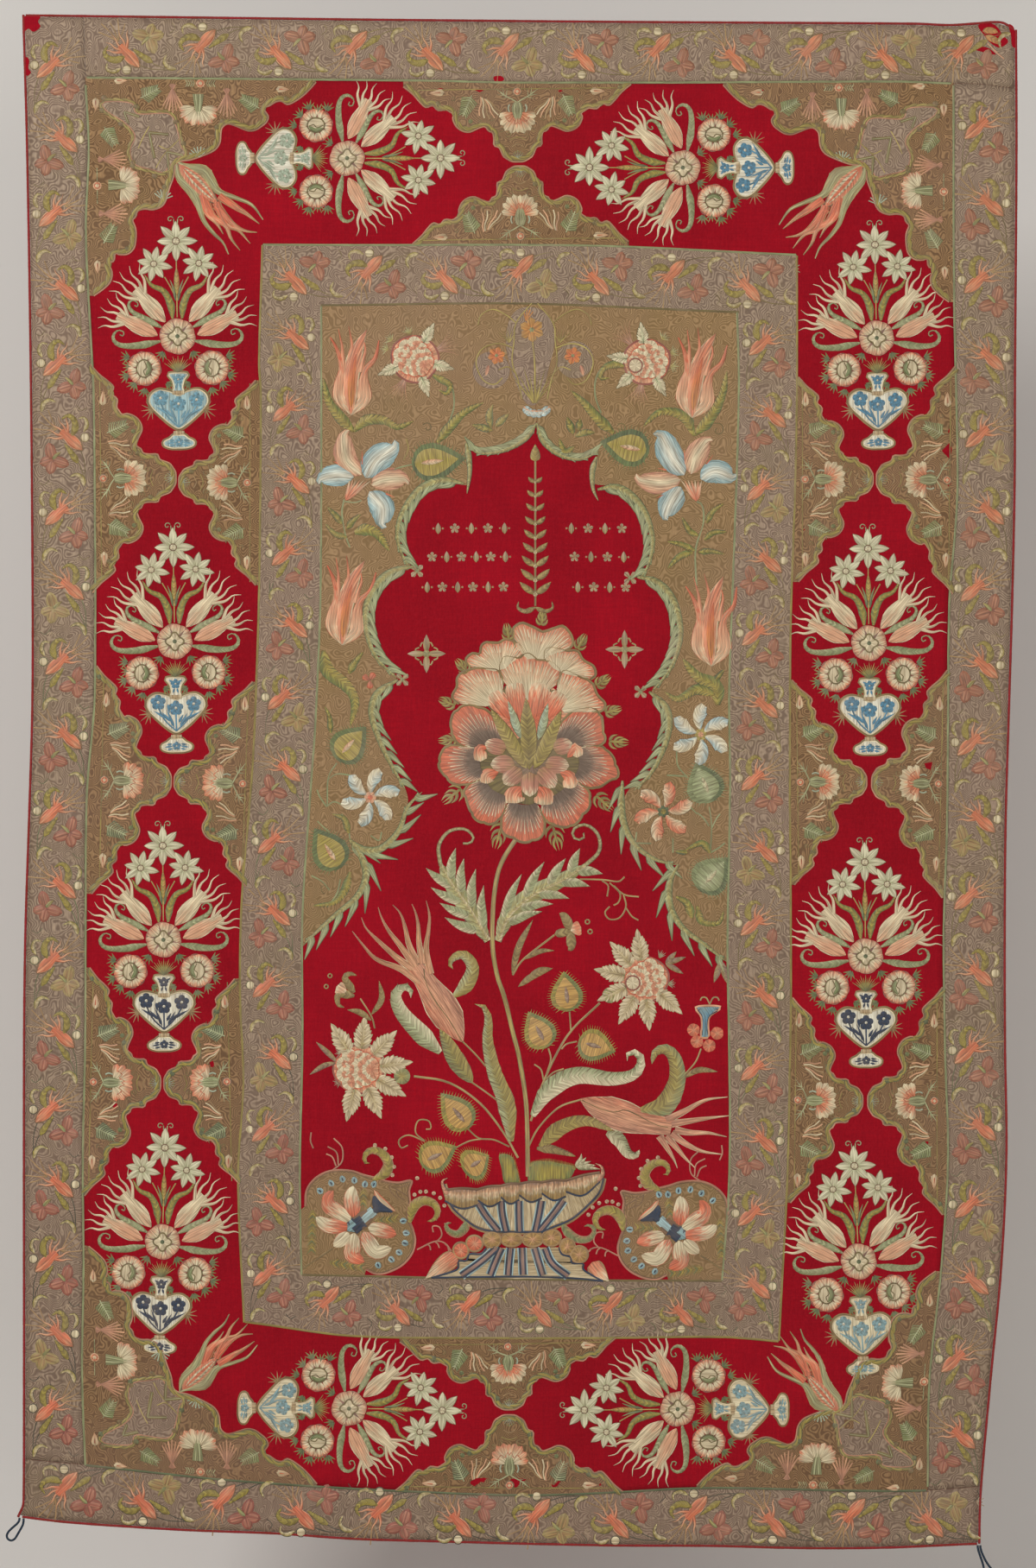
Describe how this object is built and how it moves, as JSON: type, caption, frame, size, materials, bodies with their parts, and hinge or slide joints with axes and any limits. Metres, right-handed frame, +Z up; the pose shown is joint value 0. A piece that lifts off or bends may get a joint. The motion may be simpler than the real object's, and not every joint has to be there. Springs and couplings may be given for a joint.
{
  "type": "embroidered liturgical curtain",
  "caption": "Hung curtain of red wool cloth with floral silk embroidery, couched borders, a bound rim and corner loops.",
  "frame": {"origin": "middle of the top edge of the hung cloth", "axes": "+Z up the curtain, +Y from the embroidered face to the back, +X to the right as the embroidered face is seen"},
  "size_m": [1.5283, 0.0295, 2.3732],
  "materials": {
    "red_wool": "matt fulled wool cloth",
    "couched_ground": "couched thread ground with silk flowers, soft sheen",
    "binding": "matt red-brown binding",
    "loop_cord": "dark blue-green twisted cord"
  },
  "bodies": {
    "root": {"middle_panel": "red_wool", "border_left": "couched_ground", "border_right": "couched_ground", "border_top": "couched_ground", "border_bottom": "couched_ground", "binding_left": "binding", "binding_right": "binding", "binding_top": "binding", "binding_bottom": "binding", "corner_loop_left": "loop_cord", "corner_loop_right": "loop_cord"}
  },
  "joints": []
}
